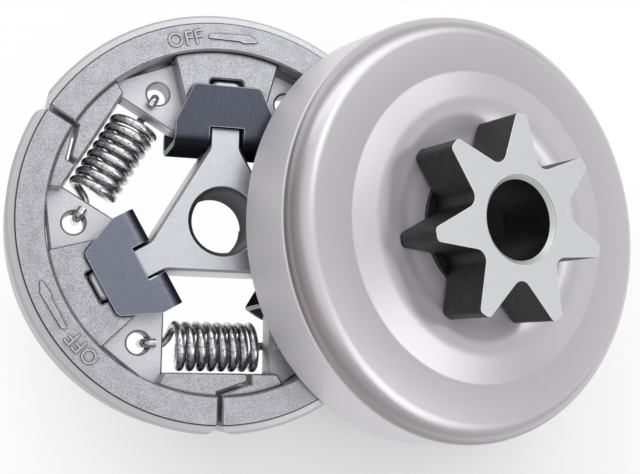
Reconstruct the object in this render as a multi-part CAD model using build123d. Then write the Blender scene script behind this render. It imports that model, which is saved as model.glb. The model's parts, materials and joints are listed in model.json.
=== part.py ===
from build123d import *
import os
from math import atan2, cos, degrees, hypot, pi, radians, sin, tan

# A three-shoe centrifugal clutch of a chainsaw, with the drum and sprocket that it drives.
# The clutch lies on its back: its axis is +Z, and the origin is the bore's centre at the back face.
# The drum is off the clutch and leans on it, mouth down, with the low side of its rim on the floor.
# All lengths are millimetres, and all angles are degrees.

# Shoes
shoe_count = 3
clutch_radius = 37.0
shoe_width = 14.4
lining_depth = 6.5
bevel_width = 1.7
bevel_step = 0.25
band_drop = 0.45
corner_width = 0.5
corner_drop = 1.0
end_gap = 0.8
end_corner = 2.2
web_recess = 1.2
web_root_half = 10.0
web_waist_half = 7.0
web_waist_radius = 19.8
plate_thickness = 5.0
plate_corner = 0.8
edge_break = 0.3
shoe_travel = 1.0

# Tongue and nose that interlock at each gap
tongue_reach = 4.9
tongue_tip = 1.4
tongue_rise = 3.25
tongue_corner = 0.6

# Spring window between two shoes
window_half = 9.5
window_bridge = 4.0
plate_reach = 14.3
root_slant = 30

# Return springs
coil_diameter = 8.9
wire_diameter = 1.55
coil_pitch = 1.88
coil_turns = 7.5
coil_clearance = 0.25
wire_sides = 8
steps_per_turn = 12
hook_steps = 3
hook_bend = 1.3
hook_return = 0.6
hook_clearance = 0.12
hook_hole_radius = 1.9
hook_hole_offset = 13.8
hook_hole_edge = 0.4

# Carrier
hub_side = 9.0
arm_width = 5.8
arm_tip_width = 5.2
arm_land = 5.2
arm_taper_start = 16.5
arm_tip_corner = 1.3
neck_radius = 1.5
carrier_edge = 0.5
thread_major_radius = 6.0
thread_chamfer = 0.3
back_boss_radius = 8.6

# Sliding fits of shoes, retainers and arms
slot_side_clearance = 0.175
slot_end_clearance = 0.25
slot_corner = 0.6
arm_face_clearance = 0.15

# Retainers
sheet = 1.0
retainer_fit = 0.05
retainer_base_radius = 12.95
retainer_bend = 2.5
retainer_base_half = 9.1
retainer_shoulder_radius = 17.2
arm_show = 1.2
retainer_top_half = 6.0
retainer_corner = 1.2
retainer_shoulder_corner = 2.0
retainer_notch_radius = 16.6

# Drum cup
drum_clearance = 0.6
drum_wall = 1.4
drum_draft = 0.35
drum_height = 16.4
drum_skirt = 12.4
skirt_step = 0.25
shoulder_radius = 3.8
rim_edge = 0.3
bead_outer_width = 5.5
bead_inner_width = 5.8
bead_rise = 1.0
bead_round = 6.0
bead_crease = 1.0
seat_width = 4.1
seat_crease = 5.0
seat_drop = 0.8

# Drive sprocket
tooth_count = 7
tooth_tip_radius = 18.4
tooth_tip_half = 1.15
tooth_tip_corner = 0.9
valley_vertex_radius = 9.6
valley_round = 1.9
tooth_length = 10.15
tooth_gap = 0.05
tooth_phase = -13.2
bearing_radius = 7.0
bearing_chamfer = 0.7
spigot_radius = 12.4
spigot_reach = 1.5
braze_gap = 0.03

# How the drum lies on the clutch
drum_shift = 3.5
rest_gap = 0.15

pitch_angle = 360 / shoe_count
half_angle = pitch_angle / 2
flat_radius = clutch_radius - bevel_width
band_radius = clutch_radius - corner_width
ring_inner_radius = clutch_radius - lining_depth
window_depth = ring_inner_radius - window_bridge
plate_inner_radius = ring_inner_radius - plate_reach
arm_reach = ring_inner_radius - arm_land
retainer_top_radius = arm_reach - arm_show
web_low = web_recess
web_high = shoe_width - web_recess
mid_height = shoe_width / 2
plate_low = mid_height - plate_thickness / 2
plate_high = mid_height + plate_thickness / 2
slot_half = arm_width / 2 + slot_side_clearance
slot_end = arm_reach + slot_end_clearance
wire_radius = wire_diameter / 2
coil_mean_radius = (coil_diameter - wire_diameter) / 2
coil_axis_radius = window_depth - coil_clearance - coil_diameter / 2
coil_half_length = coil_pitch * coil_turns / 2
hole_radial = coil_axis_radius - 0.3
retainer_low = web_low - retainer_fit - sheet
retainer_high = web_high + retainer_fit + sheet
prong_end = retainer_base_radius + sheet + retainer_fit
arm_low = web_low + arm_face_clearance - retainer_fit
arm_high = web_high - arm_face_clearance + retainer_fit
drum_inner_radius = clutch_radius + drum_clearance
drum_radius = drum_inner_radius + drum_wall
drum_offset = clutch_radius + drum_shift
seat_height = drum_height - seat_drop
seat_radius = spigot_radius + seat_width
bead_crest_radius = seat_radius + bead_inner_width
bead_outer_radius = bead_crest_radius + bead_outer_width
foot_radius = drum_radius - rim_edge


def plane_points(points):
    """Closed face in the XY plane through the given corners."""
    return make_face(Polyline(*points, close=True))


def prism(face, low, high):
    """Upright solid between two heights."""
    return Pos(0, 0, low) * extrude(face, high - low)


def broken_prism(face, low, high, edge):
    """Upright solid with its top and bottom edges broken."""
    solid = prism(face, low, high)
    levels = solid.edges().group_by(Axis.Z)
    return chamfer(levels[0] + levels[-1], edge)


def near(vertices, x, y, reach=0.05):
    """Vertices of a flat face that lie at a point."""
    return [v for v in vertices if hypot(v.X - x, v.Y - y) < reach]


def gap_to_shoe(side, radial, tangential):
    """Point given along and across the gap at one end of a shoe, in the shoe's own frame."""
    turn = radians(side * half_angle)
    x = radial * cos(turn) - tangential * sin(turn)
    y = radial * sin(turn) + tangential * cos(turn)
    return x, y


def lining_ring():
    """Ring sector with a stepped band and a bevel at both outer edges, centred on +X."""
    top = shoe_width
    section = plane_points(
        [
            (ring_inner_radius, 0),
            (flat_radius, 0),
            (flat_radius + bevel_step / 2, bevel_step),
            (band_radius, band_drop),
            (clutch_radius, corner_drop),
            (clutch_radius, top - corner_drop),
            (band_radius, top - band_drop),
            (flat_radius + bevel_step / 2, top - bevel_step),
            (flat_radius, top),
            (ring_inner_radius, top),
        ]
    )
    ring = revolve(Plane.XZ * section, Axis.Z)

    apex = end_gap / 2 / sin(radians(half_angle))
    reach = 2 * clutch_radius
    far = (apex + reach * cos(radians(half_angle)), reach * sin(radians(half_angle)))
    wedge = plane_points([(apex, 0), (far[0], -far[1]), far])
    sector = wedge & (Circle(clutch_radius) - Circle(ring_inner_radius))
    corners = [v for v in sector.vertices() if hypot(v.X, v.Y) > flat_radius]
    sector = fillet(corners, end_corner)
    return ring & broken_prism(sector, 0, shoe_width, edge_break)


def web_outline():
    """Central web of a shoe with its slot for the carrier's arm."""
    root = ring_inner_radius + end_gap
    outline = plane_points(
        [
            (prong_end, -web_waist_half),
            (web_waist_radius, -web_waist_half),
            (root, -web_root_half),
            (root, web_root_half),
            (web_waist_radius, web_waist_half),
            (prong_end, web_waist_half),
        ]
    )
    slot_start = prong_end - retainer_bend
    slot_mid = (slot_start + slot_end) / 2
    slot = Pos(slot_mid, 0) * Rectangle(slot_end - slot_start, 2 * slot_half)
    ends = near(slot.vertices(), slot_end, slot_half) + near(slot.vertices(), slot_end, -slot_half)
    return outline - fillet(ends, slot_corner)


def central_web():
    """Web between the retainer's two sheets, with its inner end rounded inside their bends."""
    web = broken_prism(web_outline(), web_low, web_high, edge_break)
    inner_bend = retainer_bend - sheet - retainer_fit
    length = 2 * clutch_radius
    side = Pos(prong_end + length / 2, mid_height) * Rectangle(length, web_high - web_low)
    ends = near(side.vertices(), prong_end, web_low) + near(side.vertices(), prong_end, web_high)
    side = fillet(ends, inner_bend)
    envelope = extrude(Plane.XZ * side, 2 * web_root_half, both=True)
    return web & envelope


def slanted_root():
    """Depth at which tongue and nose end inside the ring, and how far their slanted sides run out there."""
    overlap = ring_inner_radius + end_gap
    return overlap, (overlap - window_depth) * tan(radians(root_slant))


def tongue():
    """Long inner finger at the counter-clockwise end, which passes under the next shoe's nose."""
    overlap, slant = slanted_root()
    points = [
        (window_depth, -window_half),
        (window_depth, tongue_reach),
        (window_depth + tongue_tip, tongue_reach),
        (window_depth + tongue_rise, -end_gap / 2),
        (overlap, -end_gap / 2),
        (overlap, -window_half - slant),
    ]
    face = plane_points([gap_to_shoe(1, *p) for p in points])
    tips = []
    for radial in (window_depth, window_depth + tongue_tip):
        tips += near(face.vertices(), *gap_to_shoe(1, radial, tongue_reach))
    return broken_prism(fillet(tips, tongue_corner), web_low, web_high, edge_break)


def nose():
    """Short block at the clockwise end, which leaves a bent gap round the tongue."""
    overlap, slant = slanted_root()
    lift = end_gap * 0.5
    points = [
        (window_depth, window_half + plate_corner),
        (window_depth, tongue_reach + end_gap),
        (window_depth + tongue_tip + lift, tongue_reach + end_gap),
        (window_depth + tongue_rise + lift, end_gap / 2),
        (overlap, end_gap / 2),
        (overlap, window_half + plate_corner + slant),
    ]
    face = plane_points([gap_to_shoe(-1, *p) for p in points])
    return broken_prism(face, web_low, web_high, edge_break)


def spring_plate(side):
    """Thin lobe beside the web, with the hole that a spring's hook goes through."""
    edge = -side * window_half
    outer = gap_to_shoe(side, ring_inner_radius, edge)
    inner = gap_to_shoe(side, plate_inner_radius, edge)
    root = side * (slot_half + sheet)
    face = plane_points([outer, inner, (prong_end + sheet, root), (ring_inner_radius, root)])
    face = fillet(near(face.vertices(), *inner), plate_corner)
    plate = broken_prism(face, plate_low, plate_high, edge_break)
    x, y = gap_to_shoe(side, hole_radial, -side * hook_hole_offset)
    hole = Pos(x, y, mid_height) * Cylinder(hook_hole_radius, 2 * plate_thickness)
    for height, turn in ((plate_high, 0), (plate_low, 180)):
        mouth = Cone(hook_hole_radius, hook_hole_radius + hook_hole_edge, hook_hole_edge)
        hole += Pos(x, y, height) * Rot(turn, 0, 0) * Pos(0, 0, -hook_hole_edge / 2) * mouth
    return plate, hole


def shoe():
    """One sintered shoe, centred on +X."""
    upper_plate, upper_hole = spring_plate(1)
    lower_plate, lower_hole = spring_plate(-1)
    body = lining_ring() + central_web() + tongue() + nose() + upper_plate + lower_plate
    return body - upper_hole - lower_hole


def retainer():
    """Folded sheet clip that holds a shoe's web on the carrier's arm, centred on +X."""
    length = retainer_top_radius - retainer_base_radius
    height = retainer_high - retainer_low
    center = Pos(retainer_base_radius + length / 2, mid_height)
    outer = center * Rectangle(length, height)
    base = [v for v in outer.vertices() if v.X < retainer_base_radius + sheet]
    outer = fillet(base, retainer_bend)
    inner = center * Pos(sheet, 0) * Rectangle(length, height - 2 * sheet)
    base = [v for v in inner.vertices() if v.X < retainer_base_radius + 2 * sheet]
    inner = fillet(base, retainer_bend - sheet)
    section = Plane.XZ * (outer - inner)
    folded = extrude(section, 2 * retainer_base_half, both=True)

    plan = plane_points(
        [
            (retainer_base_radius, -retainer_base_half),
            (retainer_shoulder_radius, -retainer_base_half),
            (retainer_top_radius, -retainer_top_half),
            (retainer_top_radius, retainer_top_half),
            (retainer_shoulder_radius, retainer_base_half),
            (retainer_base_radius, retainer_base_half),
        ]
    )
    for half in (-retainer_top_half, retainer_top_half):
        plan = fillet(near(plan.vertices(), retainer_top_radius, half), retainer_corner)
    for half in (-retainer_base_half, retainer_base_half):
        plan = fillet(near(plan.vertices(), retainer_shoulder_radius, half), retainer_shoulder_corner)
    notch_start = retainer_base_radius - sheet
    notch_mid = (notch_start + retainer_notch_radius) / 2
    notch = Pos(notch_mid, 0) * Rectangle(retainer_notch_radius - notch_start, 2 * slot_half)
    return folded & prism(plan - notch, retainer_low, retainer_high)


def carrier():
    """Hub with three arms, a threaded bore and a seat on its back."""
    vertex = hub_side / cos(radians(half_angle))
    turns = [radians(k * pitch_angle) for k in range(shoe_count)]
    hub = plane_points([(vertex * cos(turn), vertex * sin(turn)) for turn in turns])
    half = arm_width / 2
    tip = arm_tip_width / 2
    arm = plane_points(
        [
            (0, -half),
            (arm_taper_start, -half),
            (arm_reach, -tip),
            (arm_reach, tip),
            (arm_taper_start, half),
            (0, half),
        ]
    )
    tips = near(arm.vertices(), arm_reach, tip) + near(arm.vertices(), arm_reach, -tip)
    arm = fillet(tips, arm_tip_corner)
    outline = hub
    for k in range(shoe_count):
        outline += Rot(0, 0, k * pitch_angle) * arm
    neck_x = (hub_side - half * sin(radians(half_angle))) / cos(radians(half_angle))
    neck = hypot(neck_x, half)
    necks = [v for v in outline.vertices() if abs(hypot(v.X, v.Y) - neck) < edge_break]
    outline = fillet(necks, neck_radius)
    body = broken_prism(outline, arm_low, arm_high, carrier_edge)
    boss = prism(Circle(back_boss_radius), 0, mid_height)
    boss = chamfer(boss.edges().group_by(Axis.Z)[0], edge_break)
    bore = prism(Circle(thread_major_radius), 0, shoe_width)
    wide = thread_major_radius + thread_chamfer
    front = Pos(0, 0, arm_high - thread_chamfer / 2) * Cone(thread_major_radius, wide, thread_chamfer)
    return body + boss - bore - front


def arc_points(start, corner, end):
    """Points of a round bend that leaves one leg and joins the next at right angles."""
    centre = start + end - corner
    turns = [pi / 2 * k / hook_steps for k in range(hook_steps + 1)]
    return [centre + (start - centre) * cos(turn) + (end - centre) * sin(turn) for turn in turns]


def hook_points(side):
    """Centre line of a spring's end: under the plate, up through its hole and back over its front."""
    under = plate_low - hook_clearance - wire_radius
    over = plate_high + hook_clearance + wire_radius
    start = Vector(coil_axis_radius + side * coil_mean_radius, side * coil_half_length, mid_height)
    rise = side * (hook_hole_offset - hook_hole_radius + wire_radius + hook_clearance)
    bend = Vector(0, side * hook_bend, 0)
    lift = Vector(0, 0, hook_bend)
    low = Vector(hole_radial, rise, under)
    high = Vector(hole_radial, rise, over)
    leg = Vector(hole_radial, side * (window_half - hook_clearance), under)
    drop = start - Vector(0, -side * wire_radius / 2, start.Z - (under + mid_height) / 2)
    turn_in = Vector((drop.X + leg.X) / 2, (drop.Y + leg.Y) / 2, under)
    lower = arc_points(low - bend, low, low + lift)
    upper = arc_points(high - lift, high, high - bend)
    finish = high - bend - Vector(0, side * hook_return, 0)
    return [drop, turn_in, leg] + lower + upper + [finish]


def spring():
    """Close-wound return spring that lies across the gap on +X, with a hook at each end."""
    count = round(coil_turns * steps_per_turn)
    coil = []
    for k in range(count + 1):
        turn = 2 * pi * k / steps_per_turn
        x = coil_axis_radius - coil_mean_radius * cos(turn)
        y = coil_pitch * k / steps_per_turn - coil_half_length
        z = mid_height + coil_mean_radius * sin(turn)
        coil.append(Vector(x, y, z))
    path = hook_points(-1)[::-1] + coil + hook_points(1)
    section = Plane(path[0], z_dir=path[1] - path[0]) * RegularPolygon(wire_radius, wire_sides)
    return sweep(section, Polyline(*path), transition=Transition.RIGHT)


def bead_height(radius):
    """Height of the bead's inner slope, without its rounding, at a distance from the drum's axis."""
    share = (radius - seat_radius) / bead_inner_width
    return seat_height + min(max(share, 0), 1) * (bead_rise + seat_drop)


def crest_rounding():
    """How far the rounding of the bead's crest lies below its corner."""
    outer_slope = atan2(bead_rise, bead_outer_width)
    inner_slope = atan2(bead_rise + seat_drop, bead_inner_width)
    return bead_round / cos((outer_slope + inner_slope) / 2) - bead_round


def drum_cup():
    """Pressed cup, mouth down, with its axis on +Z and its rim at zero height."""
    hole_radius = spigot_radius + braze_gap
    top = drum_height
    crest = top + bead_rise
    skirt_top = drum_radius - drum_draft
    shoulder = skirt_top - skirt_step
    shoulder_line = FilletPolyline(
        (shoulder, drum_skirt),
        (shoulder, top),
        (bead_outer_radius, top),
        (bead_crest_radius, crest),
        (seat_radius, seat_height),
        (hole_radius, seat_height),
        radius=[shoulder_radius, bead_crease, bead_round, seat_crease],
    )
    skirt = Polyline(
        (foot_radius, 0),
        (drum_radius, rim_edge),
        (skirt_top, drum_skirt - skirt_step),
        (shoulder, drum_skirt),
    )
    roof = top - drum_wall
    inner_seat = seat_height - drum_wall
    hollow = shoulder_radius - drum_wall
    inner = Polyline(
        (hole_radius, inner_seat),
        (seat_radius, inner_seat),
        (bead_crest_radius, crest - crest_rounding() - drum_wall),
        (bead_outer_radius - drum_wall / 2, roof),
        (drum_inner_radius - hollow, roof),
        (drum_inner_radius - hollow / 4, roof - hollow / 4),
        (drum_inner_radius, roof - hollow),
        (drum_inner_radius, rim_edge),
    )
    hole = Line((hole_radius, seat_height), (hole_radius, inner_seat))
    edge = Line((drum_inner_radius, rim_edge), (drum_inner_radius + rim_edge, 0))
    foot = Line((drum_inner_radius + rim_edge, 0), (foot_radius, 0))
    section = make_face([skirt, shoulder_line, hole, inner, edge, foot])
    return revolve(Plane.XZ * section, Axis.Z)


def tooth_outline():
    """Star of pointed teeth with rounded valleys."""
    step = 2 * pi / tooth_count
    tip = hypot(tooth_tip_radius, tooth_tip_half)
    half_tip = atan2(tooth_tip_half, tooth_tip_radius)
    points = []
    for k in range(tooth_count):
        corners = (
            (tip, k * step - half_tip),
            (tip, k * step + half_tip),
            (valley_vertex_radius, (k + 0.5) * step),
        )
        points += [(radius * cos(turn), radius * sin(turn)) for radius, turn in corners]
    star = plane_points(points)
    tips = [v for v in star.vertices() if abs(hypot(v.X, v.Y) - tip) < tooth_tip_half / 2]
    star = fillet(tips, tooth_tip_corner)
    valleys = [v for v in star.vertices() if abs(hypot(v.X, v.Y) - valley_vertex_radius) < edge_break]
    return fillet(valleys, valley_round)


def drive_sprocket():
    """Spur sprocket with the spigot that is brazed into the cup, and its needle bearing bore."""
    foot = bead_height(hypot(tooth_tip_radius, tooth_tip_half)) + tooth_gap
    top = foot + tooth_length
    teeth = Rot(0, 0, tooth_phase) * prism(tooth_outline(), foot, top)
    low = seat_height - drum_wall - spigot_reach
    spigot = prism(Circle(spigot_radius), low, foot)
    bore = prism(Circle(bearing_radius), 0, top + bearing_chamfer)
    wide = bearing_radius + bearing_chamfer
    front = Pos(0, 0, top - bearing_chamfer / 2) * Cone(bearing_radius, wide, bearing_chamfer)
    back = Pos(0, 0, low + bearing_chamfer / 2) * Cone(wide, bearing_radius, bearing_chamfer)
    return teeth + spigot - bore - front - back


def shoe_height(radius):
    """Height of a shoe's front face, with its band and bevel, at a distance from the axis."""
    if radius > band_radius:
        share = (radius - band_radius) / corner_width
        return shoe_width - band_drop - share * (corner_drop - band_drop)
    if radius > flat_radius:
        share = (radius - flat_radius) / (band_radius - flat_radius)
        return shoe_width - share * band_drop
    return shoe_width


def clearance_over_shoes(lean):
    """Least height of the leaning rim above the shoes, at the full travel of the shoes."""
    least = drum_radius
    steps = 720
    for radius in (drum_inner_radius + rim_edge, foot_radius):
        for k in range(steps):
            turn = pi * k / steps
            along = radius * cos(turn)
            x = drum_offset + along * cos(lean)
            y = radius * sin(turn)
            height = (foot_radius - along) * sin(lean)
            over = hypot(x, y) - shoe_travel
            if over <= clutch_radius:
                least = min(least, height - shoe_height(over))
    return least


def drum_lean():
    """Angle, in degrees, at which the rim lies just over the edges of the shoes."""
    low = 0.0
    high = radians(45)
    for _ in range(40):
        middle = (low + high) / 2
        if clearance_over_shoes(middle) < rest_gap:
            low = middle
        else:
            high = middle
    return degrees(high)


def laid_down(piece):
    """Drum piece moved from its own axis to where it leans on the clutch."""
    lean = drum_lean()
    lift = foot_radius * sin(radians(lean))
    return Pos(drum_offset, 0, lift) * Rot(0, lean, 0) * piece


def nodes():
    """Every piece by the name of its file."""
    found = {"carrier": Rot(0, 0, 90) * carrier()}
    one_shoe = shoe()
    one_retainer = retainer()
    one_spring = spring()
    for k in range(shoe_count):
        turn = 90 + k * pitch_angle
        found[f"shoe_{k + 1}"] = Rot(0, 0, turn) * one_shoe
        found[f"retainer_{k + 1}"] = Rot(0, 0, turn) * one_retainer
        found[f"spring_{k + 1}"] = Rot(0, 0, turn + half_angle) * one_spring
    found["drum_cup"] = laid_down(drum_cup())
    found["drive_sprocket"] = laid_down(drive_sprocket())
    return found


os.makedirs("parts", exist_ok=True)
for name, piece in nodes().items():
    export_step(piece, f"parts/{name}.step")
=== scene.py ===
import json
import math

import bpy
from mathutils import Matrix, Vector


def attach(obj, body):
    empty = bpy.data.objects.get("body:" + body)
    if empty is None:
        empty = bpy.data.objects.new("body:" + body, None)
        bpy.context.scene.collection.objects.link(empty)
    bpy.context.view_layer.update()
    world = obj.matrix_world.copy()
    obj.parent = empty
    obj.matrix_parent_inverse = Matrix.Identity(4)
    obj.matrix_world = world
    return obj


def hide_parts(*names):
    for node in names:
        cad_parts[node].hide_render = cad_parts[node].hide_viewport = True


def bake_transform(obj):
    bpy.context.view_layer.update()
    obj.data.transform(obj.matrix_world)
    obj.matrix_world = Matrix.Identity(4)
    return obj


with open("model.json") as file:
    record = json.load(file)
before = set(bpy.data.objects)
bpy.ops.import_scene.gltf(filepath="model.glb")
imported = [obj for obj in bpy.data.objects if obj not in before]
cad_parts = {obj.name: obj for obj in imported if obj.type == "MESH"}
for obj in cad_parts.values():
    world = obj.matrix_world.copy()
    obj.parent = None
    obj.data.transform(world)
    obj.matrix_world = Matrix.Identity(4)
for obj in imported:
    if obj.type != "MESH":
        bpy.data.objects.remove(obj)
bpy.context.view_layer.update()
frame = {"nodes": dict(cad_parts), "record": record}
mounts = {mount["name"]: mount for mount in frame["record"]["mounts"]}
mm = 0.001  # sizes are written in millimetres, and Blender works in metres
weld = 0.001 * mm  # points closer than this become one

shoeTurns = {"shoe_1": 90, "shoe_2": 210, "shoe_3": 330}  # where each shoe's middle points, in degrees


# Small helpers for node trees
def fillInputs(tree, node, inputs):
    for name, value in inputs.items():
        if isinstance(value, bpy.types.NodeSocket):
            tree.links.new(value, node.inputs[name])
        else:
            node.inputs[name].default_value = value


def addNode(tree, kind, inputs=None, **settings):
    node = tree.nodes.new(kind)
    for name, value in settings.items():
        setattr(node, name, value)
    fillInputs(tree, node, inputs or {})
    return node


def calc(tree, operation, *values, clamp=False):
    node = addNode(tree, "ShaderNodeMath", dict(enumerate(values)), operation=operation, use_clamp=clamp)
    return node.outputs[0]


def plus(tree, first, second):
    return calc(tree, "ADD", first, second)


def minus(tree, first, second):
    return calc(tree, "SUBTRACT", first, second)


def times(tree, first, second, clamp=False):
    return calc(tree, "MULTIPLY", first, second, clamp=clamp)


def vectorCalc(tree, operation, *values):
    return addNode(tree, "ShaderNodeVectorMath", dict(enumerate(values)), operation=operation).outputs


def mapRange(tree, value, start, end, low=0.0, high=1.0):
    # low up to the start, high from the end on, and even in between
    return addNode(tree, "ShaderNodeMapRange", {
        "Value": value, "From Min": start, "From Max": end, "To Min": low, "To Max": high,
    }).outputs[0]


def combine(tree, x=0.0, y=0.0, z=0.0):
    return addNode(tree, "ShaderNodeCombineXYZ", {0: x, 1: y, 2: z}).outputs[0]


def separate(tree, vector):
    return addNode(tree, "ShaderNodeSeparateXYZ", {0: vector}).outputs


def objectPlace(tree):
    return addNode(tree, "ShaderNodeTexCoord").outputs["Object"]


def newGroup(name, kind, inputs, outputs):
    tree = bpy.data.node_groups.new(name, kind)
    for socketName, socketKind, value in inputs:
        socket = tree.interface.new_socket(socketName, in_out="INPUT", socket_type=socketKind)
        if value is not None:
            socket.default_value = value
    for socketName, socketKind in outputs:
        tree.interface.new_socket(socketName, in_out="OUTPUT", socket_type=socketKind)
    return tree, tree.nodes.new("NodeGroupInput").outputs, tree.nodes.new("NodeGroupOutput").inputs


def useGroup(tree, group, inputs):
    node = tree.nodes.new("ShaderNodeGroup")
    node.node_tree = group
    fillInputs(tree, node, inputs)
    return node.outputs


# Shared surface effects
def makeGrain():
    # speckle of a sintered or blasted surface: a tone from 0 to 1 and a height
    coarseSize, coarseShare = 0.13, 0.35
    tree, given, out = newGroup(
        "metalGrain", "ShaderNodeTree",
        [("Grains per mm", "NodeSocketFloat", 4.0), ("Contrast", "NodeSocketFloat", 1.0)],
        [("Tone", "NodeSocketFloat"), ("Height", "NodeSocketFloat")],
    )
    place = objectPlace(tree)
    scale = times(tree, given["Grains per mm"], 1 / mm)
    fine = addNode(tree, "ShaderNodeTexNoise", {
        "Vector": place, "Scale": scale, "Detail": 3.0, "Roughness": 0.65,
    })
    coarseScale = times(tree, scale, coarseSize)
    coarse = addNode(tree, "ShaderNodeTexNoise", {"Vector": place, "Scale": coarseScale, "Detail": 2.0})
    both = plus(tree, fine.outputs["Fac"], times(tree, coarse.outputs["Fac"], coarseShare))
    centred = minus(tree, both, 0.5 * (1 + coarseShare))
    tone = calc(tree, "ADD", times(tree, centred, given["Contrast"]), 0.5, clamp=True)
    tree.links.new(tone, out["Tone"])
    tree.links.new(fine.outputs["Fac"], out["Height"])
    return tree


def makeEdgeWear():
    # 1 along sharp outer edges and 0 elsewhere
    openReach, openLeast = 0.6 * mm, 0.45
    tree, given, out = newGroup(
        "edgeWear", "ShaderNodeTree",
        [("Reach", "NodeSocketFloat", 0.2 * mm), ("Sharpness", "NodeSocketFloat", 6.0)],
        [("Worn", "NodeSocketFloat")],
    )
    rounded = addNode(tree, "ShaderNodeBevel", {"Radius": given["Reach"]}, samples=4).outputs[0]
    plain = addNode(tree, "ShaderNodeNewGeometry").outputs["Normal"]
    bend = minus(tree, 1.0, vectorCalc(tree, "DOT_PRODUCT", rounded, plain)["Value"])
    openness = addNode(tree, "ShaderNodeAmbientOcclusion", {"Distance": openReach}, samples=4).outputs["AO"]
    outer = calc(tree, "GREATER_THAN", openness, openLeast)
    tree.links.new(times(tree, times(tree, bend, given["Sharpness"]), outer, clamp=True), out["Worn"])
    return tree


def makeCornerShade():
    # painted shade: 1 deep in corners and 0 on open faces
    tree, given, out = newGroup(
        "paintedCornerShade", "ShaderNodeTree",
        [("Reach", "NodeSocketFloat", 1.0 * mm), ("Strength", "NodeSocketFloat", 1.5)],
        [("Painted Shade", "NodeSocketFloat")],
    )
    shade = addNode(tree, "ShaderNodeAmbientOcclusion", {"Distance": given["Reach"]}, samples=8)
    deep = minus(tree, 1.0, shade.outputs["AO"])
    tree.links.new(times(tree, deep, given["Strength"], clamp=True), out["Painted Shade"])
    return tree


def makeBrushing():
    # long fine streaks; the vector's scale along the brushing is small
    tree, given, out = newGroup(
        "brushedStreaks", "ShaderNodeTree",
        [(name, "NodeSocketFloat", 1.0) for name in ("Along X", "Along Y", "Along Z")],
        [("Tone", "NodeSocketFloat")],
    )
    along = combine(tree, given["Along X"], given["Along Y"], given["Along Z"])
    stretched = vectorCalc(tree, "MULTIPLY", objectPlace(tree), along)["Vector"]
    streaks = addNode(tree, "ShaderNodeTexNoise", {"Vector": stretched, "Scale": 1 / mm, "Detail": 2.0})
    tree.links.new(streaks.outputs["Fac"], out["Tone"])
    return tree


grain = makeGrain()
edgeWear = makeEdgeWear()
paintedCornerShade = makeCornerShade()
brushedStreaks = makeBrushing()


# Metal, with every finish as a few values of its own
def grey(level, blue=0.0):
    return (level, level, level * (1 + blue), 1)


metalDefaults = {
    "metallic": 1.0, "grains": 4.0, "contrast": 1.0, "roughness": 0.35, "roughSpread": 0.1,
    "dark": grey(0.35), "light": grey(0.6), "bump": 0.3, "bumpDepth": 0.04, "brushShare": 0.6,
    "wornReach": 0.25, "wornSharpness": 4.0, "wornColour": grey(0.85),
    # the next three values set the painted shade in corners
    "cornerShadeReach": 0.8, "cornerShadeStrength": 0.8, "cornerShadeColour": grey(0.03, 0.1),
}


def mixColour(tree, share, first, second):
    node = addNode(tree, "ShaderNodeMix", data_type="RGBA")
    fillInputs(tree, node, {0: share, 6: first, 7: second})
    return node.outputs[2]


def makeMetal(name, look):
    material = bpy.data.materials.new(name)
    material.use_nodes = True
    tree = material.node_tree
    surface = tree.nodes["Principled BSDF"]
    surface.inputs["Metallic"].default_value = look["metallic"]
    speckle = useGroup(tree, grain, {"Grains per mm": look["grains"], "Contrast": look["contrast"]})
    tone = speckle["Tone"]
    if "brushed" in look:
        alongX, alongY, alongZ = look["brushed"]
        along = {"Along X": alongX, "Along Y": alongY, "Along Z": alongZ}
        streaks = useGroup(tree, brushedStreaks, along)
        share = look["brushShare"]
        tone = plus(tree, times(tree, tone, 1 - share), times(tree, streaks["Tone"], share))
    wear = {"Reach": look["wornReach"] * mm, "Sharpness": look["wornSharpness"]}
    cornerShadeSettings = {"Reach": look["cornerShadeReach"] * mm, "Strength": look["cornerShadeStrength"]}
    colour = mixColour(tree, tone, look["dark"], look["light"])
    colour = mixColour(tree, useGroup(tree, edgeWear, wear)["Worn"], colour, look["wornColour"])
    # painted shade darkens the colour in corners
    colour = mixColour(tree, useGroup(tree, paintedCornerShade, cornerShadeSettings)["Painted Shade"], colour, look["cornerShadeColour"])
    rough = plus(tree, look["roughness"], times(tree, tone, look["roughSpread"]))
    bump = addNode(tree, "ShaderNodeBump", {
        "Height": speckle["Height"], "Strength": look["bump"], "Distance": look["bumpDepth"] * mm,
    })
    fillInputs(tree, surface, {"Base Color": colour, "Roughness": rough, "Normal": bump.outputs[0]})
    return material


def layColour(material, mask, colour):
    # lays a colour over a metal where the mask is 1
    tree = material.node_tree
    socket = tree.nodes["Principled BSDF"].inputs["Base Color"]
    tree.links.new(mixColour(tree, mask(tree), socket.links[0].from_socket, colour), socket)


def bandMask(tree, value, band):
    # 1 within half a width of the band's middle, fading over its soft width
    away = calc(tree, "ABSOLUTE", minus(tree, value, band["middle"] * mm))
    return mapRange(tree, away, band["half"] * mm, (band["half"] + band["soft"]) * mm, 1.0, 0.0)


def hubDistance(tree):
    flat = vectorCalc(tree, "MULTIPLY", objectPlace(tree), (1, 1, 0))["Vector"]
    return vectorCalc(tree, "LENGTH", flat)["Value"]


def floorHeight(tree):
    return separate(tree, objectPlace(tree))["Z"]


def dress(node, material):
    node.data.materials.clear()
    node.data.materials.append(material)
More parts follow.
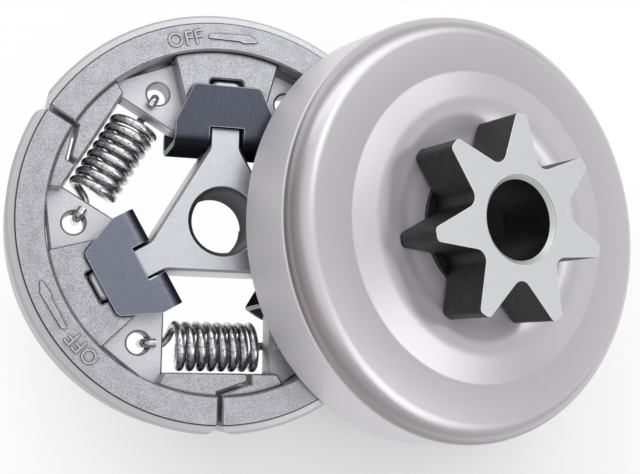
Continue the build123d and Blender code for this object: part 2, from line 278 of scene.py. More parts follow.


# Shoes: sintered steel, with painted light on the spring plates, a painted highlight on the outer bevel, and
# a fine painted shade line by the bevel
sinteredShoe = makeMetal("sinteredShoe", metalDefaults | {
    "grains": 3.2, "contrast": 2.2, "dark": grey(0.29, 0.07), "light": grey(0.65, 0.07),
    "roughness": 0.42, "bump": 0.5, "bumpDepth": 0.06, "cornerShadeReach": 0.6, "cornerShadeStrength": 2.4,
    "wornSharpness": 6.0, "wornColour": grey(0.95),
})
shoePaintedLight = [
    # painted light: the recessed spring plates made lighter
    {"of": floorHeight, "middle": 9.4, "half": 0.5, "soft": 0.3, "share": 0.45, "tone": grey(0.9, 0.05)},
    # painted highlight on the outer bevel
    {"of": hubDistance, "middle": 36.3, "half": 0.6, "soft": 0.3, "share": 1.0, "tone": grey(0.6, 0.05)},
    # painted shade: a fine dark line at the step by the bevel
    {"of": hubDistance, "middle": 35.38, "half": 0.06, "soft": 0.12, "share": 1.0, "tone": grey(0.06, 0.1)},
]


def shoePaintedLightMask(tree, band):
    return times(tree, band["share"], bandMask(tree, band["of"](tree), band))


for band in shoePaintedLight:
    layColour(sinteredShoe, lambda tree: shoePaintedLightMask(tree, band), band["tone"])
for shoeName in shoeTurns:
    dress(frame["nodes"][shoeName], sinteredShoe)

# Carrier: finer steel, and the threaded wall in the bore is darkened by painted shade
carrierSteel = makeMetal("carrierSteel", metalDefaults | {
    "grains": 6.0, "contrast": 1.3, "dark": grey(0.5, 0.08), "light": grey(0.74, 0.08), "roughness": 0.38,
    "wornColour": grey(1.0), "wornSharpness": 8.0, "cornerShadeReach": 0.6, "cornerShadeStrength": 1.6,
})
paintedBoreShade = {"full": 6.05, "none": 6.25, "tone": grey(0.16, 0.06)}


def insideMask(tree, distance, limits):
    # 1 near the axis, fading out between two distances
    return mapRange(tree, distance, limits["full"] * mm, limits["none"] * mm, 1.0, 0.0)


# painted shade inside the bore
layColour(carrierSteel, lambda tree: insideMask(tree, hubDistance(tree), paintedBoreShade), paintedBoreShade["tone"])
dress(frame["nodes"]["carrier"], carrierSteel)

# Clips: blued sheet, brushed, and painted shade makes it nearly black where it bends towards the hub
# each clip's level is painted light and shade: one blued sheet, made lighter or darker for where it lies
clipLooks = {  # scale of the brushing, how light the sheet is, and the way from the hub to the clip
    "retainer_1": {"brushed": (4, 0.4, 0.4), "level": 0.62, "turn": 90},
    "retainer_2": {"brushed": (2, 3.4, 0.4), "level": 1.35, "turn": 210},
    "retainer_3": {"brushed": (2, 3.4, 0.4), "level": 0.9, "turn": 330},
}
sheetLook = {
    # bend is the colour of the painted shade on the bend
    "dark": (0.085, 0.095, 0.13), "light": (0.2, 0.215, 0.265), "bend": (0.02, 0.02, 0.026, 1),
    "bendFrom": 0.25, "bendFull": 0.6,
}


def bendShadeMask(tree, turn):
    # painted shade where the sheet's surface turns towards the hub
    inward = (-math.cos(math.radians(turn)), -math.sin(math.radians(turn)), 0)
    normal = addNode(tree, "ShaderNodeTexCoord").outputs["Normal"]
    facing = vectorCalc(tree, "DOT_PRODUCT", normal, inward)["Value"]
    return mapRange(tree, facing, sheetLook["bendFrom"], sheetLook["bendFull"])


def makeBluedSheet(clip, look):
    # the level scales the tones as painted light and shade
    tones = {key: tuple(part * look["level"] for part in sheetLook[key]) + (1,) for key in ("dark", "light")}
    sheet = makeMetal("bluedSheet" + clip[-2:], metalDefaults | tones | {
        "grains": 5.0, "contrast": 1.0, "brushed": look["brushed"], "roughness": 0.36, "bump": 0.1,
        "wornColour": (0.6, 0.62, 0.68, 1), "wornSharpness": 6.0,
    })
    tree = sheet.node_tree
    # painted shade on the bend: nearly black, not metallic and without specular reflection
    layColour(sheet, lambda tree: bendShadeMask(tree, look["turn"]), sheetLook["bend"])
    surface = tree.nodes["Principled BSDF"]
    tree.links.new(minus(tree, 1.0, bendShadeMask(tree, look["turn"])), surface.inputs["Metallic"])
    surface.inputs["Specular IOR Level"].default_value = 0.0
    return sheet


for clipName, clipLook in clipLooks.items():
    dress(frame["nodes"][clipName], makeBluedSheet(clipName, clipLook))
print("shoes, carrier and clips ready")


# Helpers for meshes
def roundedLine(corners, rounds, steps=8):
    corners = [Vector(corner) for corner in corners]
    points = [corners[0]]
    for before, corner, after, radius in zip(corners, corners[1:], corners[2:], rounds):
        back, ahead = (before - corner).normalized(), (after - corner).normalized()
        half = back.angle(ahead) / 2
        centre = corner + (back + ahead).normalized() * radius / math.sin(half)
        start = corner + back * radius / math.tan(half) - centre
        sweep = (math.pi - 2 * half) * (1 if back.x * ahead.y - back.y * ahead.x < 0 else -1)
        for step in range(steps + 1):
            points.append(centre + Matrix.Rotation(sweep * step / steps, 2) @ start)
    return points + [corners[-1]]


def addObject(name, data):
    holder = bpy.data.objects.new(name, data)
    bpy.context.scene.collection.objects.link(holder)
    return holder


def plainMesh(holder):
    return bpy.data.meshes.new_from_object(holder.evaluated_get(bpy.context.evaluated_depsgraph_get()))


def curveThrough(name, points):
    curve = bpy.data.curves.new(name, "CURVE")
    curve.dimensions = "3D"
    spline = curve.splines.new("POLY")
    spline.points.add(len(points) - 1)
    for target, point in zip(spline.points, points):
        target.co = (*point, 1)
    return addObject(name, curve)


def runTree(holder, tree, values, name, place=Matrix.Identity(4), sharp=35):
    # the tree's result as a plain mesh, with its place in its vertices
    modifier = holder.modifiers.new("shape", "NODES")
    modifier.node_group = tree
    for item in tree.interface.items_tree:
        if item.in_out == "INPUT" and item.name in values:
            modifier[item.identifier] = values[item.name]
    mesh = plainMesh(holder)
    mesh.transform(place)
    mesh.name = name
    mesh.polygons.foreach_set("use_smooth", [True] * len(mesh.polygons))
    mesh.set_sharp_from_angle(angle=math.radians(sharp))
    bpy.data.objects.remove(holder)
    return addObject(name, mesh)


def endTree(tree, geometry, material, out, second=None, where=None):
    # the second material goes on the faces that the field picks
    real = addNode(tree, "GeometryNodeRealizeInstances", {"Geometry": geometry})
    last = addNode(tree, "GeometryNodeSetMaterial", {"Geometry": real.outputs[0], "Material": material})
    if second:
        inputs = {"Geometry": last.outputs[0], "Selection": where, "Material": second}
        last = addNode(tree, "GeometryNodeSetMaterial", inputs)
    tree.links.new(last.outputs[0], out["Geometry"])


def joinedGeometry(tree, *parts):
    join = addNode(tree, "GeometryNodeJoinGeometry")
    for part in parts:
        tree.links.new(part, join.inputs[0])
    return join.outputs[0]


# Drum, turned round its axis from one closed section, with the bearing bore's mount as its place
drumSizes = {
    "innerRadius": 37.6, "wall": 1.4, "draft": 0.35, "height": 16.4, "skirt": 12.4, "step": 0.25,
    "shoulder": 3.8, "rimEdge": 0.3, "beadOuter": 27.8, "beadCrest": 21.3, "beadRise": 1.15, "beadRound": 8.0,
    "crease": 2.5, "seatRadius": 16.5, "seatCrease": 5.0, "seatDrop": 0.8, "hole": 12.43, "stepsRound": 240,
}
sprocketSizes = {
    "teeth": 7, "tipRadius": 18.4, "tipHalf": 1.15, "tipRound": 0.9, "valleyRadius": 9.6, "valleyRound": 1.9,
    "foot": 16.25, "top": 26.4, "low": 12.7, "phase": -13.2, "bore": 7.0, "boreEdge": 0.7, "spigot": 12.4,
    "edge": 0.12, "stepsRound": 120,
}
drumMarks = {
    # painted shade along the step between the skirt and the shoulder, less of it on the upper side
    "paintedStepShade": {"middle": 13.8, "half": 0.5, "soft": 1.8, "tone": (0.34, 0.3, 0.305, 1)},
    "shadeUpTo": 2, "leastShadeFrom": 16, "leastShade": 0.2, "shadeOutside": 35,
    # painted light near the sprocket: lighter and less metallic steel
    "paintedHubLight": {"full": 19, "none": 23, "tone": (0.8, 0.775, 0.81, 1), "lessMetallic": 0.36},
}
drumLook = metalDefaults | {
    "metallic": 0.78, "grains": 7.0, "contrast": 0.6,
    "dark": (0.56, 0.545, 0.57, 1), "light": (0.69, 0.67, 0.70, 1),
    "roughness": 0.28, "roughSpread": 0.06, "bump": 0.12, "bumpDepth": 0.02, "cornerShadeStrength": 0.5,
}
drumSteel = makeMetal("drumSteel", drumLook)
# painted light: the skirt's steel is lighter, less metallic and rougher than the rest of the drum
paintedLightSkirt = makeMetal("paintedLightSkirt", drumLook | {
    "metallic": 0.3, "dark": (0.82, 0.80, 0.83, 1), "light": (0.93, 0.91, 0.94, 1), "roughness": 0.4,
    "cornerShadeStrength": 0.3,
})


def findDrum():
    # the drum's axis, and the transform that puts its rim's middle in place
    mount = mounts["bearing_bore"]
    axis = Vector(mount["axis"]).normalized()
    middle = (sprocketSizes["top"] + sprocketSizes["low"]) / 2
    rim = Vector(mount["pos_m"]) - axis * middle * mm
    return axis, Matrix.Translation(rim) @ Matrix.Rotation(math.atan2(axis.x, axis.z), 4, "Y")


drumAxis, drumPlace = findDrum()


def drumCoordinates(tree):
    # height above the rim, distance from the drum's own axis, and place across it
    given = vectorCalc(tree, "SUBTRACT", objectPlace(tree), tuple(drumPlace.translation))["Vector"]
    along = vectorCalc(tree, "DOT_PRODUCT", given, tuple(drumAxis))["Value"]
    aside = vectorCalc(tree, "CROSS_PRODUCT", given, tuple(drumAxis))["Vector"]
    return along, vectorCalc(tree, "LENGTH", aside)["Value"], separate(tree, given)["Y"]


# painted shade along the step, weaker towards the upper side
def paintedStepShade(tree):
    along, away, across = drumCoordinates(tree)
    start, end = drumMarks["shadeUpTo"] * mm, drumMarks["leastShadeFrom"] * mm
    amount = mapRange(tree, across, start, end, 1.0, drumMarks["leastShade"])
    outside = calc(tree, "GREATER_THAN", away, drumMarks["shadeOutside"] * mm)
    return times(tree, times(tree, bandMask(tree, along, drumMarks["paintedStepShade"]), amount), outside)


# painted light near the sprocket
def paintedHubLightZone(tree):
    return insideMask(tree, drumCoordinates(tree)[1], drumMarks["paintedHubLight"])


layColour(drumSteel, paintedStepShade, drumMarks["paintedStepShade"]["tone"])
layColour(drumSteel, paintedHubLightZone, drumMarks["paintedHubLight"]["tone"])
drumTree = drumSteel.node_tree
# the painted light also lowers the metallic value near the sprocket
lessMetallic = times(drumTree, drumMarks["paintedHubLight"]["lessMetallic"], paintedHubLightZone(drumTree))
drumMetallic = minus(drumTree, drumLook["metallic"], lessMetallic)
drumTree.links.new(drumMetallic, drumTree.nodes["Principled BSDF"].inputs["Metallic"])


def drumSection(sizes):
    inside, wall, height = sizes["innerRadius"], sizes["wall"], sizes["height"]
    skirt, step, edge = sizes["skirt"], sizes["step"], sizes["rimEdge"]
    shoulderRound, beadRound = sizes["shoulder"], sizes["beadRound"]
    beadOuter, beadCrest = sizes["beadOuter"], sizes["beadCrest"]
    seatRadius, hole = sizes["seatRadius"], sizes["hole"]
    radius = inside + wall
    skirtTop = radius - sizes["draft"]
    shoulder = skirtTop - step
    crest = height + sizes["beadRise"]
    seat = height - sizes["seatDrop"]
    outer = roundedLine(
        [(radius - edge, 0), (radius, edge), (skirtTop, skirt - step), (shoulder, skirt), (shoulder, height),
         (beadOuter, height), (beadCrest, crest), (seatRadius, seat), (hole, seat)],
        [edge / 3, step / 3, step / 5, shoulderRound, sizes["crease"], beadRound, sizes["seatCrease"]],
    )
    inner = roundedLine(
        [(hole, seat - wall), (seatRadius, seat - wall), (beadCrest, crest - wall),
         (beadOuter - wall / 2, height - wall), (inside, height - wall), (inside, edge), (inside + edge, 0)],
        [wall, beadRound - wall, wall, shoulderRound - wall, edge / 3],
    )
    section = outer + inner
    return [(point.x * mm, 0, point.y * mm) for point in section + section[:1]]


def makeTurning():
    # a grid with one row for each point of the section, turned round Z
    tree, given, out = newGroup(
        "turnedSection", "GeometryNodeTree",
        [("Geometry", "NodeSocketGeometry", None), ("Steps Round", "NodeSocketInt", 240),
         ("Material", "NodeSocketMaterial", None), ("Upper Material", "NodeSocketMaterial", None),
         ("Upper From", "NodeSocketFloat", 1.0)],
        [("Geometry", "NodeSocketGeometry")],
    )
    line = addNode(tree, "GeometryNodeCurveToMesh", {"Curve": given["Geometry"]}).outputs[0]
    count = addNode(tree, "GeometryNodeAttributeDomainSize", {"Geometry": line}, component="MESH")
    columns = plus(tree, given["Steps Round"], 1)
    rows = count.outputs["Point Count"]
    grid = addNode(tree, "GeometryNodeMeshGrid", {"Vertices X": rows, "Vertices Y": columns})
    index = addNode(tree, "GeometryNodeInputIndex").outputs[0]
    row = calc(tree, "FLOOR", calc(tree, "DIVIDE", plus(tree, index, 0.5), columns))
    column = minus(tree, index, times(tree, row, columns))
    turn = times(tree, calc(tree, "DIVIDE", column, given["Steps Round"]), 2 * math.pi)
    position = addNode(tree, "GeometryNodeInputPosition").outputs[0]
    sample = addNode(tree, "GeometryNodeSampleIndex", data_type="FLOAT_VECTOR")
    fillInputs(tree, sample, {"Geometry": line, "Index": row, "Value": position})
    point = separate(tree, sample.outputs[0])
    x = times(tree, point["X"], calc(tree, "COSINE", turn))
    y = times(tree, point["X"], calc(tree, "SINE", turn))
    placed = combine(tree, x, y, point["Z"])
    turned = addNode(tree, "GeometryNodeSetPosition", {"Geometry": grid.outputs["Mesh"], "Position": placed})
    closed = addNode(tree, "GeometryNodeMergeByDistance", {"Geometry": turned.outputs[0], "Distance": weld})
    isUpper = calc(tree, "GREATER_THAN", separate(tree, position)["Z"], given["Upper From"])
    endTree(tree, closed.outputs[0], given["Material"], out, given["Upper Material"], isUpper)
    return tree


turningTree = makeTurning()
drum = runTree(curveThrough("drumSection", drumSection(drumSizes)), turningTree, {
    "Steps Round": drumSizes["stepsRound"], "Material": paintedLightSkirt, "Upper Material": drumSteel,
    "Upper From": drumSizes["skirt"] * mm,
}, "drumShell", drumPlace)
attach(drum, "root")
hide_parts("drum_cup")
print("drum ready")

# Sprocket, a star with rounded tips and valleys, and a turned sleeve with its bore and spigot
toothFace = makeMetal("toothFace", metalDefaults | {
    "grains": 5.0, "contrast": 0.7, "dark": (0.67, 0.69, 0.69, 1), "light": (0.77, 0.79, 0.79, 1),
    "roughness": 0.45, "bump": 0.1, "wornColour": grey(0.95), "wornSharpness": 8.0,
})
toothFlank = makeMetal("toothFlank", metalDefaults | {
    "grains": 5.0, "contrast": 1.6, "dark": grey(0.035), "light": grey(0.11), "roughness": 0.45, "bump": 0.3,
    "wornColour": grey(0.3), "wornSharpness": 3.0,
})


def makeStar():
    tree, given, out = newGroup(
        "toothedStar", "GeometryNodeTree",
        [("Geometry", "NodeSocketGeometry", None), ("Teeth", "NodeSocketInt", 7),
         ("Tip Radius", "NodeSocketFloat", 18.4 * mm), ("Tip Turn", "NodeSocketFloat", 0.06),
         ("Tip Round", "NodeSocketFloat", 0.9 * mm), ("Valley Radius", "NodeSocketFloat", 9.6 * mm),
         ("Valley Round", "NodeSocketFloat", 1.9 * mm), ("Bore Radius", "NodeSocketFloat", 7.7 * mm),
         ("Low", "NodeSocketFloat", 16.25 * mm), ("Length", "NodeSocketFloat", 10.15 * mm),
         ("Face Material", "NodeSocketMaterial", None), ("Flank Material", "NodeSocketMaterial", None)],
        [("Geometry", "NodeSocketGeometry")],
    )
    # three corners for each tooth: 0 and 1 are its tip's, 2 is the valley after it
    corners = times(tree, given["Teeth"], 3)
    ring = addNode(tree, "GeometryNodeCurvePrimitiveCircle", {"Resolution": corners}).outputs["Curve"]
    index = addNode(tree, "GeometryNodeInputIndex").outputs[0]
    tooth = calc(tree, "FLOOR", calc(tree, "DIVIDE", plus(tree, index, 0.5), 3.0))
    kind = minus(tree, index, times(tree, tooth, 3.0))
    isValley = calc(tree, "GREATER_THAN", kind, 1.5)
    isTip = minus(tree, 1.0, isValley)
    pitch = calc(tree, "DIVIDE", 2 * math.pi, given["Teeth"])
    side = times(tree, minus(tree, times(tree, kind, 2.0), 1.0), isTip)
    turn = plus(tree, times(tree, tooth, pitch), times(tree, side, given["Tip Turn"]))
    turn = plus(tree, turn, times(tree, isValley, times(tree, pitch, 0.5)))
    spread = minus(tree, given["Tip Radius"], given["Valley Radius"])
    radius = plus(tree, given["Valley Radius"], times(tree, isTip, spread))
    x = times(tree, radius, calc(tree, "COSINE", turn))
    y = times(tree, radius, calc(tree, "SINE", turn))
    place = combine(tree, x, y)
    sharp = addNode(tree, "GeometryNodeSetPosition", {"Geometry": ring, "Position": place}).outputs[0]
    tipRound = times(tree, isTip, given["Tip Round"])
    valleyRound = times(tree, isValley, given["Valley Round"])
    star = addNode(tree, "GeometryNodeFilletCurve", {
        "Curve": sharp, "Radius": plus(tree, tipRound, valleyRound), "Count": 7,
    }, mode="POLY")
    bore = addNode(tree, "GeometryNodeCurvePrimitiveCircle", {
        "Resolution": 96, "Radius": given["Bore Radius"],
    })
    outline = joinedGeometry(tree, star.outputs[0], bore.outputs["Curve"])
    flat = addNode(tree, "GeometryNodeFillCurve", {"Curve": outline}, mode="NGONS").outputs[0]
    lift = combine(tree, z=given["Low"])
    flat = addNode(tree, "GeometryNodeTransform", {"Geometry": flat, "Translation": lift}).outputs[0]
    raised = addNode(tree, "GeometryNodeExtrudeMesh", {
        "Mesh": flat, "Offset": combine(tree, z=1.0), "Offset Scale": given["Length"], "Individual": False,
    })
    underside = addNode(tree, "GeometryNodeFlipFaces", {"Mesh": flat}).outputs[0]
    whole = joinedGeometry(tree, raised.outputs["Mesh"], underside)
    closed = addNode(tree, "GeometryNodeMergeByDistance", {"Geometry": whole, "Distance": weld}).outputs[0]
    upward = separate(tree, addNode(tree, "GeometryNodeInputNormal").outputs[0])["Z"]
    isFace = calc(tree, "GREATER_THAN", upward, 0.5)
    endTree(tree, closed, given["Flank Material"], out, given["Face Material"], isFace)
    return tree


def bevelEdges(piece, width, segments=2, angle=40):
    modifier = piece.modifiers.new("softEdges", "BEVEL")
    modifier.width = width * mm
    modifier.segments = segments
    modifier.limit_method = "ANGLE"
    modifier.angle_limit = math.radians(angle)
    modifier.harden_normals = True
    mesh = plainMesh(piece)
    piece.modifiers.clear()
    piece.data = mesh


def buildStar(sizes):
    tipRadius, tipHalf = sizes["tipRadius"], sizes["tipHalf"]
    place = drumPlace @ Matrix.Rotation(math.radians(sizes["phase"]), 4, "Z")
    star = runTree(curveThrough("starSeed", [(0, 0, 0), (mm, 0, 0)]), makeStar(), {
        "Teeth": sizes["teeth"], "Tip Radius": math.hypot(tipRadius, tipHalf) * mm,
        "Tip Turn": math.atan2(tipHalf, tipRadius),
        "Tip Round": sizes["tipRound"] * mm, "Valley Radius": sizes["valleyRadius"] * mm,
        "Valley Round": sizes["valleyRound"] * mm, "Bore Radius": (sizes["bore"] + sizes["boreEdge"]) * mm,
        "Low": sizes["foot"] * mm, "Length": (sizes["top"] - sizes["foot"]) * mm,
        "Face Material": toothFace, "Flank Material": toothFlank,
    }, "sprocketStar", place)
    bevelEdges(star, sizes["edge"])
    return star


def buildSleeve(sizes):
    # the bore with its chamfers, and the spigot that sits in the cup's hole
    bore, edge, low, foot = sizes["bore"], sizes["boreEdge"], sizes["low"], sizes["foot"]
    wide = bore + edge
    top = sizes["top"] - sizes["edge"]
    section = [
        (wide, top), (bore, top - edge), (bore, low + edge), (wide, low), (sizes["spigot"], low),
        (sizes["spigot"], foot), (wide, foot), (wide, top),
    ]
    line = curveThrough("sleeveSection", [(radius * mm, 0, height * mm) for radius, height in section])
    return runTree(line, turningTree, {
        "Steps Round": sizes["stepsRound"], "Material": toothFlank, "Upper Material": toothFace,
        "Upper From": (top - edge) * mm,
    }, "sprocketSleeve", drumPlace, sharp=30)


for piece in (buildStar(sprocketSizes), buildSleeve(sprocketSizes)):
    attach(piece, "root")
    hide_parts("drive_sprocket")
print("sprocket ready")

# Return springs, each in two halves that run from the middle of the coil to the hook in a shoe
springWire = makeMetal("springWire", metalDefaults | {
    "grains": 1.6, "contrast": 2.8, "dark": grey(0.3, 0.05), "light": grey(1.0),
    "roughness": 0.18, "bump": 0.2, "cornerShadeReach": 0.8, "cornerShadeStrength": 1.3,
})
springSizes = {
    "axisRadius": 21.8, "middle": 7.2, "coilRadius": 3.675, "wire": 0.775, "pitch": 1.88, "turns": 7.5,
    "holeRadial": 21.5, "holeOffset": 13.8, "holeRadius": 1.9, "plateLow": 4.7, "plateHigh": 9.7,
    "clearance": 0.12, "window": 9.5, "bend": 1.3, "back": 0.6, "leave": 0.1, "arrive": 0.7,
    "stepsPerTurn": 40, "sides": 14,
}
springEnds = {  # where each spring's gap points, and the shoes at its clockwise and other end
    "spring_1": (150, "shoe_1", "shoe_2"),
    "spring_2": (270, "shoe_2", "shoe_3"),
    "spring_3": (30, "shoe_3", "shoe_1"),
}


def quarterBend(start, corner, end, steps=8):
    centre = start + end - corner
    turns = [math.pi / 2 * step / steps for step in range(steps + 1)]
    return [centre + (start - centre) * math.cos(turn) + (end - centre) * math.sin(turn) for turn in turns]


def easedCurve(start, leave, end, arrive, steps=18):
    points = []
    for step in range(1, steps):
        t = step / steps
        points.append(
            start * (2 * t**3 - 3 * t**2 + 1) + leave * (t**3 - 2 * t**2 + t)
            + end * (3 * t**2 - 2 * t**3) + arrive * (t**3 - t**2)
        )
    return points


def springHalf(sizes, side):
    # centre line from the middle of the coil to the hook's tip, in the gap's own frame
    axisRadius, coilRadius, middle = sizes["axisRadius"], sizes["coilRadius"], sizes["middle"]
    half = sizes["turns"] / 2
    count = round(half * sizes["stepsPerTurn"])
    points = []
    for step in range(count + 1):
        turn = math.pi * sizes["turns"] + side * 2 * math.pi * half * step / count
        along = sizes["pitch"] * (turn / (2 * math.pi) - half)
        inward, upward = coilRadius * math.cos(turn), coilRadius * math.sin(turn)
        points.append(Vector((axisRadius - inward, along, middle + upward)))
    space = sizes["clearance"] + sizes["wire"]
    under, over = sizes["plateLow"] - space, sizes["plateHigh"] + space
    rise = side * (sizes["holeOffset"] - sizes["holeRadius"] + space)
    low, high = Vector((sizes["holeRadial"], rise, under)), Vector((sizes["holeRadial"], rise, over))
    bend, lift = Vector((0, side * sizes["bend"], 0)), Vector((0, 0, sizes["bend"]))
    leg = Vector((sizes["holeRadial"], side * (sizes["window"] - sizes["clearance"]), under))
    pull = 2 * coilRadius
    leave = Vector((0, side * pull * sizes["leave"], -pull))
    arrive = Vector((0, side * pull * sizes["arrive"], 0))
    points += easedCurve(points[-1], leave, leg, arrive) + [leg]
    points += quarterBend(low - bend, low, low + lift) + quarterBend(high - lift, high, high - bend)
    points.append(high - bend - Vector((0, side * sizes["back"], 0)))
    return [point * mm for point in points]


def makeWire():
    tree, given, out = newGroup(
        "sweptWire", "GeometryNodeTree",
        [("Geometry", "NodeSocketGeometry", None), ("Wire Radius", "NodeSocketFloat", 0.8 * mm),
         ("Sides", "NodeSocketInt", 14), ("Material", "NodeSocketMaterial", None)],
        [("Geometry", "NodeSocketGeometry")],
    )
    ring = addNode(tree, "GeometryNodeCurvePrimitiveCircle", {
        "Resolution": given["Sides"], "Radius": given["Wire Radius"],
    })
    swept = addNode(tree, "GeometryNodeCurveToMesh", {
        "Curve": given["Geometry"], "Profile Curve": ring.outputs["Curve"], "Fill Caps": True,
    })
    endTree(tree, swept.outputs[0], given["Material"], out)
    return tree


wireTree = makeWire()
for springName, (turn, backShoe, aheadShoe) in springEnds.items():
    gapPlace = Matrix.Rotation(math.radians(turn), 4, "Z")
    for side, shoe in ((-1, backShoe), (1, aheadShoe)):
        name = springName.replace("_", "Coil") + "_" + shoe.replace("_", "")
        coil = runTree(curveThrough("springLine", springHalf(springSizes, side)), wireTree, {
            "Wire Radius": springSizes["wire"] * mm, "Sides": springSizes["sides"], "Material": springWire,
        }, name, gapPlace, sharp=60)
        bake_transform(coil)
        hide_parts(springName)
print("springs ready")

# Fine thread in the hub's bore
threadSizes = {
    "radius": 6.0, "pitch": 1.0, "depth": 0.5, "root": 0.42, "crest": 0.07, "low": 0.6, "high": 12.3,
}


def makeThread():
    tree, given, out = newGroup(
        "threadRidge", "GeometryNodeTree",
        [("Geometry", "NodeSocketGeometry", None), ("Radius", "NodeSocketFloat", 6 * mm),
         ("Turns", "NodeSocketFloat", 12.0), ("Length", "NodeSocketFloat", 12 * mm),
         ("Low", "NodeSocketFloat", 0.0), ("Depth", "NodeSocketFloat", 0.5 * mm),
         ("Half Root", "NodeSocketFloat", 0.4 * mm), ("Half Crest", "NodeSocketFloat", 0.07 * mm),
         ("Material", "NodeSocketMaterial", None)],
        [("Geometry", "NodeSocketGeometry")],
    )
    spiral = addNode(tree, "GeometryNodeCurveSpiral", {
        "Resolution": 48, "Rotations": given["Turns"], "Height": given["Length"],
        "Start Radius": given["Radius"], "End Radius": given["Radius"],
    }).outputs[0]
    lift = combine(tree, z=given["Low"])
    spiral = addNode(tree, "GeometryNodeTransform", {"Geometry": spiral, "Translation": lift}).outputs[0]
    upright = addNode(tree, "GeometryNodeSetCurveNormal", {"Curve": spiral}, mode="Z_UP").outputs[0]
    depth, halfRoot, halfCrest = given["Depth"], given["Half Root"], given["Half Crest"]
    ridge = addNode(tree, "GeometryNodeCurvePrimitiveQuadrilateral", {
        "Point 1": combine(tree, 0.0, times(tree, halfRoot, -1.0)),
        "Point 2": combine(tree, depth, times(tree, halfCrest, -1.0)),
        "Point 3": combine(tree, depth, halfCrest),
        "Point 4": combine(tree, 0.0, halfRoot),
    }, mode="POINTS").outputs[0]
    swept = addNode(tree, "GeometryNodeCurveToMesh", {
        "Curve": upright, "Profile Curve": ridge, "Fill Caps": True,
    })
    endTree(tree, swept.outputs[0], given["Material"], out)
    return tree


def buildThread(sizes):
    length = sizes["high"] - sizes["low"]
    return runTree(curveThrough("threadSeed", [(0, 0, 0), (mm, 0, 0)]), makeThread(), {
        "Radius": sizes["radius"] * mm, "Turns": length / sizes["pitch"], "Length": length * mm,
        "Low": sizes["low"] * mm, "Depth": sizes["depth"] * mm, "Half Root": sizes["root"] * mm,
        "Half Crest": sizes["crest"] * mm, "Material": carrierSteel,
    }, "boreThread", sharp=25)


thread = buildThread(threadSizes)
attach(thread, "root")
print("thread ready")

# Raised word and arrow on each shoe
markSizes = {
    "word": "OFF", "height": 3.7, "radius": 31.6, "turn": 14.0, "face": 14.4, "raise": 0.25,
    "edge": 0.06, "wordEdge": 0.001, "arrowTurn": 2.6,
    "arrow": [(-2.3, 32.85), (-1.8, 33.34), (4.9, 33.34), (6.7, 32.33),
              (6.1, 32.03), (3.9, 31.92), (3.3, 32.24), (-2.1, 32.54)],
}


def makeWord(sizes):
    text = bpy.data.curves.new("markText", "FONT")
    text.body = sizes["word"]
    text.size = sizes["height"] * mm
    text.align_x = "CENTER"
    text.extrude = sizes["raise"] / 2 * mm
    text.bevel_depth = sizes["edge"] * mm
    text.offset = -sizes["edge"] * mm
    text.resolution_u = 3
    holder = addObject("markText", text)
    mesh = plainMesh(holder)
    bpy.data.objects.remove(holder)
    return mesh


def makeArrow(sizes):
    mesh = bpy.data.meshes.new("markArrow")
    low, high = -sizes["raise"] * mm, sizes["raise"] * mm
    outline = [(x * mm, y * mm) for x, y in reversed(sizes["arrow"])]
    count = len(outline)
    vertices = [(x, y, low) for x, y in outline] + [(x, y, high) for x, y in outline]
    sides = [(k, (k + 1) % count, (k + 1) % count + count, k + count) for k in range(count)]
    mesh.from_pydata(vertices, [], [tuple(range(count))[::-1], tuple(range(count, 2 * count))] + sides)
    return mesh


def placeMark(mesh, name, shoe, place, edge):
    mesh.transform(Matrix.Rotation(math.radians(shoeTurns[shoe] - 90), 4, "Z") @ place)
    mesh.materials.clear()
    mesh.materials.append(sinteredShoe)
    piece = addObject(name, mesh)
    bevelEdges(piece, edge)
    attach(piece, shoe)


def markPlace(degrees, radius):
    # on the shoe's face, turned round the hub
    onFace = Matrix.Translation((0, radius * mm, markSizes["face"] * mm))
    return Matrix.Rotation(math.radians(degrees), 4, "Z") @ onFace


wordPlace = markPlace(markSizes["turn"], markSizes["radius"])
arrowPlace = markPlace(markSizes["arrowTurn"], 0)
for shoe in shoeTurns:
    placeMark(makeWord(markSizes), "word" + shoe[-2:], shoe, wordPlace, markSizes["wordEdge"])
    placeMark(makeArrow(markSizes), "arrow" + shoe[-2:], shoe, arrowPlace, markSizes["edge"])
print("marks ready")

# Camera
cameraSettings = {
    "place": (-39.3, -26.9, 201.2), "turn": (7.08, -16.9, 1.85), "focusPixels": 1100, "pictureWide": 640,
    "sensor": 36, "near": 10,
}


def aimCamera(settings):
    turn = Vector(settings["turn"])
    eye = addObject("camera", bpy.data.cameras.new("camera"))
    eye.data.sensor_width = settings["sensor"]
    eye.data.lens = settings["focusPixels"] / settings["pictureWide"] * settings["sensor"]
    eye.data.clip_start = settings["near"] * mm
    spin = Matrix.Rotation(math.radians(turn.length), 4, turn.normalized())
    eye.matrix_world = Matrix.Translation(Vector(settings["place"]) * mm) @ spin
    bpy.context.scene.camera = eye


aimCamera(cameraSettings)

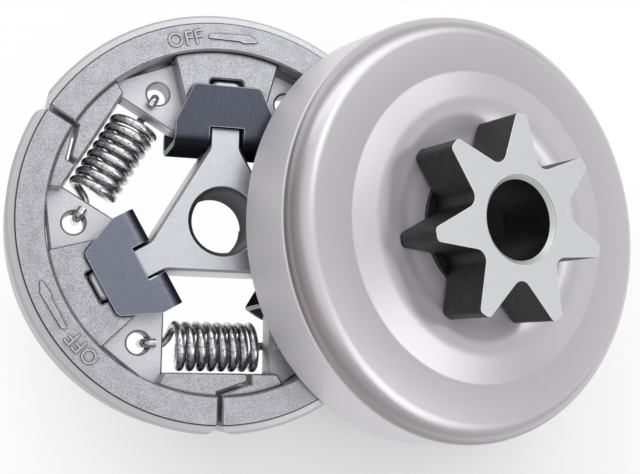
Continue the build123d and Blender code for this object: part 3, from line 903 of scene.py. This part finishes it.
# Floor and light
floorSettings = {
    "size": 3.0, "drop": 0.1, "tone": grey(0.85), "paintedBoreShadowTone": grey(0.1), "roughness": 0.9, "specular": 0.1,
    "farGlow": 0.98, "nearGlow": 0.38, "windowGlow": 0.985,
    # middle, start and end of the ring in which the floor changes
    "shadow": ((33, -34), 30, 76), "windows": ((0, 0), 31, 36), "underDrum": ((43, 0), 25, 31),
    # a painted shadow on the floor where it shows through the sprocket's bore
    "paintedBoreShadow": ((59, 4), 9, 15),
}
lampSettings = {  # the way to the lamp in degrees, its distance and size in metres, and how bright it is
    "upper": {"turn": 84, "rise": 43, "away": 0.7, "wide": 1.1, "high": 0.26, "glow": 1.45},
    "lower": {"turn": -33, "rise": 49, "away": 0.7, "wide": 0.36, "high": 0.32, "glow": 1.7},
    "middle": {"turn": 50, "rise": 60, "away": 0.7, "wide": 0.2, "high": 0.24, "glow": 1.9},
    "right": {"turn": 10, "rise": 18, "away": 0.8, "wide": 0.7, "high": 0.3, "glow": 0.4},
    "top": {"turn": 120, "rise": 84, "away": 0.75, "wide": 0.9, "high": 0.9, "glow": 0.4},
}
lampAim = (20, 0, 10)  # where every lamp points
worldStrength = 0.52  # how bright the world is to everything but the camera


def ringMask(tree, ring, low, high):
    # a value that goes from low to high between two distances from a point of the floor
    (x, y), start, end = ring
    away = vectorCalc(tree, "DISTANCE", objectPlace(tree), (x * mm, y * mm, 0))["Value"]
    return mapRange(tree, away, start * mm, end * mm, low, high)


def floorGlow(tree, settings):
    # white far away and in the clutch's windows, less near the object for its shadow, none under the drum
    far = ringMask(tree, settings["shadow"], settings["nearGlow"], settings["farGlow"])
    window = ringMask(tree, settings["windows"], settings["windowGlow"], 0)
    underDrum = ringMask(tree, settings["underDrum"], 0, 1)
    return times(tree, calc(tree, "MAXIMUM", far, window), underDrum)


def makeFloor(settings):
    mesh = bpy.data.meshes.new("floor")
    half = settings["size"] / 2
    corners = [(-half, -half, 0), (half, -half, 0), (half, half, 0), (-half, half, 0)]
    mesh.from_pydata(corners, [], [(0, 1, 2, 3)])
    floor = addObject("floor", mesh)
    floor.location.z = -settings["drop"] * mm
    material = bpy.data.materials.new("paleFloor")
    material.use_nodes = True
    tree = material.node_tree
    surface = tree.nodes["Principled BSDF"]
    # painted shadow: the floor under the sprocket's bore is dark
    paintedBoreShadow = ringMask(tree, settings["paintedBoreShadow"], 0, 1)
    fillInputs(tree, surface, {
        "Base Color": mixColour(tree, paintedBoreShadow, settings["paintedBoreShadowTone"], settings["tone"]),
        "Roughness": settings["roughness"], "Specular IOR Level": settings["specular"],
    })
    path = addNode(tree, "ShaderNodeLightPath").outputs
    mirrored = calc(tree, "MAXIMUM", path["Is Glossy Ray"], path["Is Transmission Ray"])
    seen = calc(tree, "MAXIMUM", path["Is Camera Ray"], mirrored)
    glow = addNode(tree, "ShaderNodeEmission", {"Color": grey(1.0), "Strength": 1.0})
    mix = addNode(tree, "ShaderNodeMixShader", {
        0: times(tree, seen, floorGlow(tree, settings)), 1: surface.outputs[0], 2: glow.outputs[0],
    })
    tree.links.new(mix.outputs[0], tree.nodes["Material Output"].inputs["Surface"])
    mesh.materials.append(material)


def addLamp(name, settings):
    lamp = bpy.data.lights.new(name, "AREA")
    lamp.shape = "RECTANGLE"
    lamp.size, lamp.size_y = settings["wide"], settings["high"]
    lamp.energy = settings["glow"] * math.pi * settings["wide"] * settings["high"]
    turn, rise = math.radians(settings["turn"]), math.radians(settings["rise"])
    way = Vector((math.cos(rise) * math.cos(turn), math.cos(rise) * math.sin(turn), math.sin(rise)))
    place = Vector(lampAim) * mm + way * settings["away"]
    facing = way.to_track_quat("Z", "Y").to_matrix().to_4x4()
    addObject(name, lamp).matrix_world = Matrix.Translation(place) @ facing


def lightWorld(strength):
    # white to the camera, and plain light for everything else
    world = bpy.data.worlds.new("studio")
    bpy.context.scene.world = world
    world.use_nodes = True
    tree = world.node_tree
    background = tree.nodes["Background"]
    background.inputs["Color"].default_value = grey(1.0)
    isSeen = addNode(tree, "ShaderNodeLightPath").outputs["Is Camera Ray"]
    tree.links.new(calc(tree, "MULTIPLY_ADD", isSeen, 1 - strength, strength), background.inputs["Strength"])


makeFloor(floorSettings)
for lampName, lampSetting in lampSettings.items():
    addLamp(lampName, lampSetting)
lightWorld(worldStrength)
bpy.context.scene.view_settings.view_transform = "Standard"
print("stage ready")
